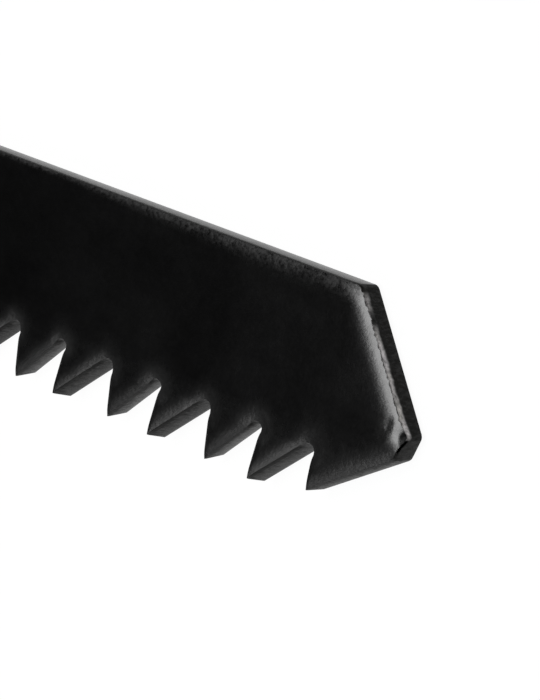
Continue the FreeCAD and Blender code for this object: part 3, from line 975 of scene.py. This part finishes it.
# roughness of the shiny black: its base, and what each pattern adds to it
SHINE, BY_CLOUDS, BY_MOTTLE, BY_GRAIN, BY_FROSTED_GRAIN = 0.120, 0.13, 0.06, 0.06, 0.08
BY_SPECKLE, BY_FROST, BY_HANDLING = 0.9, 0.22, 0.052
DULL_ROUGHNESS, DULL_SPECULAR, SHADE_BLACK_ROUGHNESS = 0.65, 0.06, 0.8
STEEL_ROUGHNESS, STEEL_BY_GRAIN = 0.28, 0.2
# height of the bumps in millimetres, and the patterns' shares in them
FACE_BUMP, BUMP_MOTTLE, BUMP_FROST = 0.005, 0.5, 2.5
WALL_BUMP, BUMP_FINE = 0.010, 0.5

bump = paint.node("ShaderNodeBump", Strength=1.0, Distance=FACE_BUMP * MM,
                  Height=(mottle * BUMP_MOTTLE + fine) * (frost * BUMP_FROST + 1.0))
wall_bump = paint.node("ShaderNodeBump", Strength=1.0, Distance=WALL_BUMP * MM,
                       Height=streaks + fine * BUMP_FINE)
roughness = (clouds * BY_CLOUDS + mottle * BY_MOTTLE
             + (fine - NOISE_MEAN) * (frost * BY_FROSTED_GRAIN + BY_GRAIN)
             + speckle * BY_SPECKLE + frost * BY_FROST + handled * BY_HANDLING + SHINE)
shine = paint.node("ShaderNodeBsdfPrincipled", Base_Color=paint.mixed(clouds, BLACK, SLATE),
                   Roughness=roughness, Normal=bump)
dull = paint.node("ShaderNodeBsdfPrincipled", Base_Color=DULL_BLACK, Roughness=DULL_ROUGHNESS,
                  Specular_IOR_Level=DULL_SPECULAR, Normal=wall_bump)
# black without sheen: painted shade in the crack and on the nose's band
shade_black = paint.node("ShaderNodeBsdfPrincipled", Base_Color=SHADE_BLACK, Roughness=SHADE_BLACK_ROUGHNESS,
                  Specular_IOR_Level=0.0)
steel = paint.node("ShaderNodeBsdfPrincipled", Metallic=1.0, Normal=bump,
                   Base_Color=paint.mixed(grain("steel"), STEEL_COOL, STEEL_WARM),
                   Roughness=STEEL_ROUGHNESS + fine * STEEL_BY_GRAIN)
print("finishes:", len([node for node in paint.tree.nodes if node.type == "BSDF_PRINCIPLED"]))

# %% The finishes laid over each other
# each share is a weight times a noise, whose contrast is raised and then cut
WORN_GAIN, WORN_CUT = 2.4, 0.5
UNEVEN_GAIN, UNEVEN_BASE = 0.8, 0.6
SHADE_GAIN, SHADE_CUT, SHADE_FROM = 4.0, 1.4, 1.0

worn = bare * (fine * WORN_GAIN - WORN_CUT).at_least(0.0)
uneven = dull_share * (streaks * UNEVEN_GAIN + UNEVEN_BASE)
# share of painted shade: broken by noise along the crack, whole on the nose's band
shade_share = (seam * (fine * SHADE_GAIN - SHADE_CUT).at_least(0.0)
         + (seam - SHADE_FROM).at_least(0.0))
finish = paint.layered(worn.at_most(1.0), shine, steel)
finish = paint.layered(uneven.at_most(1.0), finish, dull)
finish = paint.layered(shade_share.at_most(1.0), finish, shade_black)
paint.node("ShaderNodeOutputMaterial", Surface=finish)
print("finish has", len(paint.tree.nodes), "nodes")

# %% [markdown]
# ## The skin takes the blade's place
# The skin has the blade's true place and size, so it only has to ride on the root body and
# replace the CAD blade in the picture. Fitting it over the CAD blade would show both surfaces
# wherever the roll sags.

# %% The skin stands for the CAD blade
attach(blade_skin, "root")
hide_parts("blade")
print(blade_skin.name, "replaces the CAD blade")

# %% [markdown]
# ## A white table
# The blade lies on a white ground without a visible shadow. A matt white floor alone would turn
# grey where the lamps don't reach, so rays from the camera and reflections mostly see an even white
# glow. The light that falls on the blade from below stays that of the matt floor.

# %% Pale floor
FLOOR_REACH = 1.6
MATT_WHITE, PURE_WHITE = (0.9, 0.9, 0.9, 1), (1, 1, 1, 1)
GLOW_SHARE = 0.96

floor_mesh = bpy.data.meshes.new("floor")
floor_mesh.from_pydata([(x * FLOOR_REACH, y * FLOOR_REACH, 0)
                        for x, y in ((-1, -1), (1, -1), (1, 1), (-1, 1))], [], [(0, 1, 2, 3)])
table = placed("floor", floor_mesh)
pale = bpy.data.materials.new("pale_table")
floor_mesh.materials.append(pale)
coat = Paint(pale)
rays = coat.node("ShaderNodeLightPath")
seen, glossy, through = (Value(coat, rays.outputs[f"Is {kind} Ray"])
                         for kind in ("Camera", "Glossy", "Transmission"))
seen = seen.at_least(glossy).at_least(through)
matt = coat.node("ShaderNodeBsdfDiffuse", Color=MATT_WHITE)
glow = coat.node("ShaderNodeEmission", Color=PURE_WHITE, Strength=1.0)
coat.node("ShaderNodeOutputMaterial", Surface=coat.layered(seen * GLOW_SHARE, matt, glow))
print("floor", 2 * FLOOR_REACH, "m wide")

# %% [markdown]
# ## A dark room with two softboxes
# The face of the blade mirrors a dark room, and only its rolled edges catch a light. So the room is
# dim above and lighter at the horizon, where the flanks of the teeth and the walls look. The large
# softbox overhead shines in the free end's roll. The smaller one stands on the teeth's side and
# gives the soft rim above each tooth and along the bevel.
#
# Moving lamps about by hand would take many tries on a mirror like this. Their directions were
# worked out from the slope of the roll and the camera's direction.

# %% World
HORIZON, OVERHEAD, FALL_OFF = 0.48, 0.014, 3.0

world = bpy.data.worlds.new("studio")
bpy.context.scene.world = world
sky = Paint(world)
way = sky.node("ShaderNodeTexCoord").outputs["Generated"]
height = sky.value("ShaderNodeSeparateXYZ", output="Z", Vector=way)
low = (1.0 - height.at_least(0.0)) ** FALL_OFF
dim = sky.node("ShaderNodeBackground", Color=PURE_WHITE, Strength=low * HORIZON + OVERHEAD)
white = sky.node("ShaderNodeBackground", Color=PURE_WHITE, Strength=1.0)
seen = sky.value("ShaderNodeLightPath", output="Is Camera Ray")
sky.node("ShaderNodeOutputWorld", Surface=sky.layered(seen, dim, white))
print("room", HORIZON + OVERHEAD, "at the horizon and", OVERHEAD, "overhead")

# %% Lamps
TIP = Vector((0.044, 0.0, 0.001))  # in metres


def softbox(name, direction, distance, width, depth, radiance):
    """Area lamp that looks at the tip; its power gives the radiance wanted."""
    data = bpy.data.lights.new(name, "AREA")
    data.shape = "RECTANGLE"
    data.size, data.size_y = width, depth
    data.energy = radiance * pi * width * depth
    away = Vector(direction).normalized()
    across = (Vector((1, 0, 0)) - away * away.x).normalized()
    placed(name, data).matrix_world = (
        Matrix.Translation(TIP + away * distance)
        @ Matrix((across, away.cross(across), away)).transposed().to_4x4())
    print(name, round(data.energy, 2), "W")


softbox("key_softbox", direction=(0.04, 0.22, 0.97), distance=0.45,
        width=0.26, depth=0.30, radiance=9.6)
softbox("fill_softbox", direction=(-0.09, -0.50, 0.86), distance=0.45,
        width=0.17, depth=0.20, radiance=5.0)

# %% [markdown]
# ## The camera
# The camera's place and turn were solved from six points of the outline: the tips of the teeth, the
# back edge and both corners of the free end. Placing it by eye would leave the edges a little off.
# A long lens from about 10 cm gives the photo's weak perspective.

# %% Camera
FOCAL_LENGTH, IMAGE_HEIGHT = 3000, 700  # in pixels
SENSOR = 36.0
CAMERA_PLACE = Vector((108.637, 20.507, 81.326))  # in millimetres
RIGHT = Vector((0.7282, 0.2224, -0.6482)).normalized()
BACK = Vector((0.6202, 0.1885, 0.7614)).normalized()
UP = BACK.cross(RIGHT).normalized()
CLIP = (0.005, 10.0)

camera_data = bpy.data.cameras.new("camera")
camera_data.sensor_width = SENSOR
camera_data.lens = FOCAL_LENGTH / IMAGE_HEIGHT * SENSOR
camera_data.clip_start, camera_data.clip_end = CLIP
camera = placed("camera", camera_data)
camera.matrix_world = (Matrix.Translation(CAMERA_PLACE * MM)
                       @ Matrix((RIGHT, UP, BACK)).transposed().to_4x4())
bpy.context.scene.camera = camera
print("lens", round(camera_data.lens, 1), "mm")

# %% [markdown]
# ## The last lines
# The finish was matched by its plain colours, so they are shown without a film curve.

# %% Colour management
bpy.context.scene.view_settings.view_transform = "Standard"
